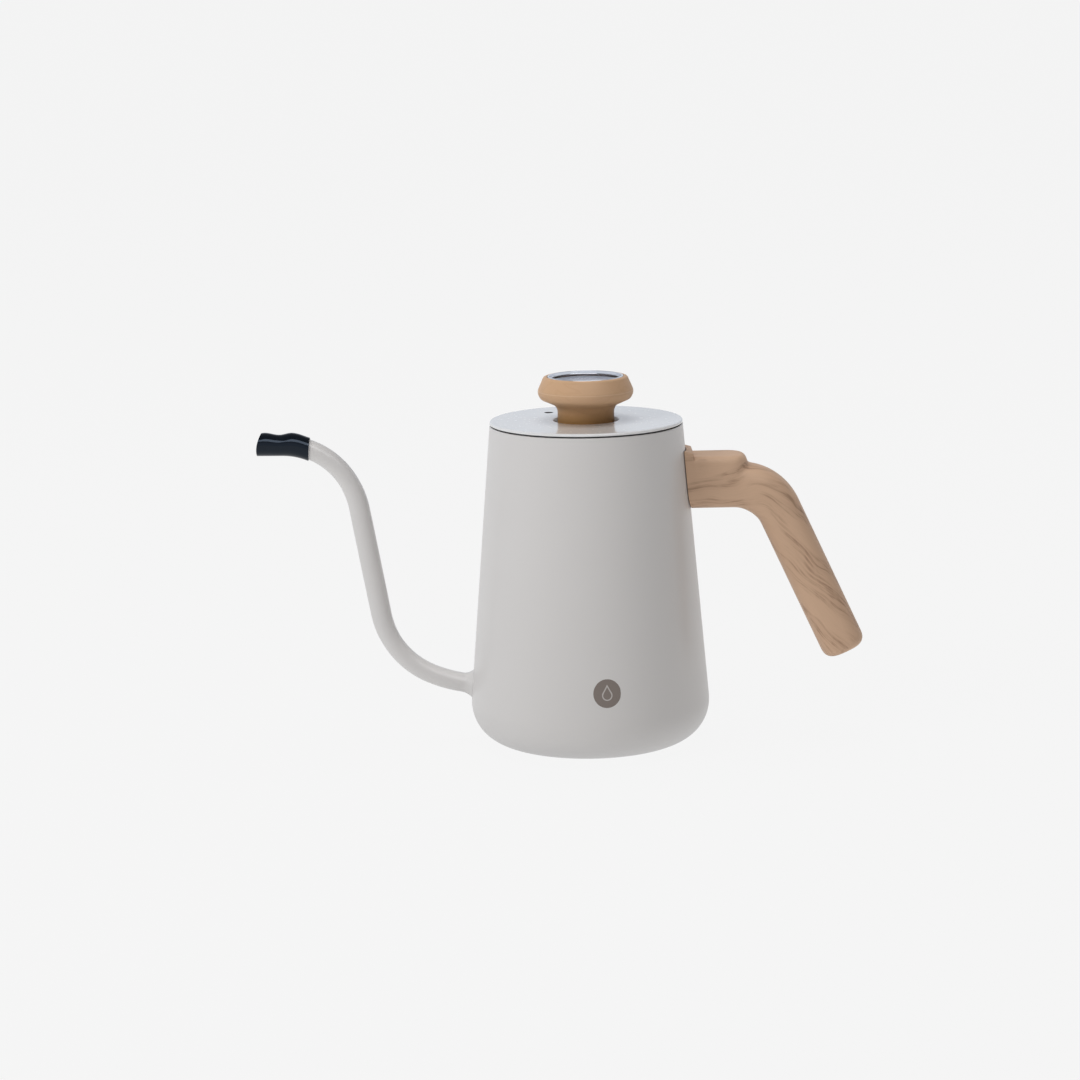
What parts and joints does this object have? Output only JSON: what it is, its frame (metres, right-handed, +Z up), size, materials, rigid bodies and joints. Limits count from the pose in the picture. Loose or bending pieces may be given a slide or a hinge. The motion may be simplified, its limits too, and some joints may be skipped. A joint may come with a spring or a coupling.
{
  "type": "gooseneck pour-over kettle",
  "caption": "Small stovetop kettle with a tapered body, long gooseneck spout with a sleeved tip, hooked handle and a lift-off lid whose knob holds a dial thermometer.",
  "frame": {"origin": "centre of the base where it rests on the table", "axes": "+Z up along the body's axis, -X towards the spout, +X towards the handle, the spout and handle lie in the XZ plane"},
  "size_m": [0.2508, 0.0998, 0.1541],
  "materials": {
    "body_paint": "satin off-white powder coat",
    "lid_paint": "glossy off-white enamel",
    "brushed_steel": "brushed",
    "wood_look": "satin, printed wood grain",
    "knob_plastic": "satin",
    "black_silicone": "glossy",
    "chrome": "polished",
    "clear_glass": "polished",
    "dial_print": "printed",
    "pointer_paint": "satin",
    "brass": "turned",
    "bimetal": "rolled strip"
  },
  "bodies": {
    "kettle": {"body_shell": "body_paint", "base_plate": "brushed_steel", "spout_tube": "body_paint", "spout_tip_sleeve": "black_silicone", "handle_bracket": "brushed_steel", "handle_grip": "wood_look", "handle_screw": "brushed_steel", "handle_lock_washer": "brushed_steel"},
    "lid": {"lid_disc": "lid_paint", "lid_skirt": "brushed_steel", "lid_seal": "black_silicone", "knob_body": "knob_plastic", "knob_gasket": "black_silicone", "nut_gasket": "black_silicone", "nut_washer": "brushed_steel", "lid_nut": "brushed_steel", "threaded_bush": "brushed_steel", "stem_tube": "brushed_steel", "bimetal_coil": "bimetal", "spindle_bushing": "brass", "thermometer_case": "brushed_steel", "dial_plate": "dial_print", "lens_gasket": "black_silicone", "glass_lens": "clear_glass", "bezel_ring": "chrome"},
    "pointer": {"pointer": "pointer_paint", "pointer_spindle": "brushed_steel"}
  },
  "joints": [
    {"name": "lid_lift", "type": "slide", "parent": "kettle", "child": "lid", "axis": [0, 0, 1], "range_m": [0, 0.1]},
    {"name": "pointer_turn", "type": "hinge", "parent": "lid", "child": "pointer", "pos_m": [0, 0, 0.1495], "axis": [0, 0, 1], "range_deg": [-216, 54], "stiffness_Nm_per_rad": 0.00005}
  ]
}
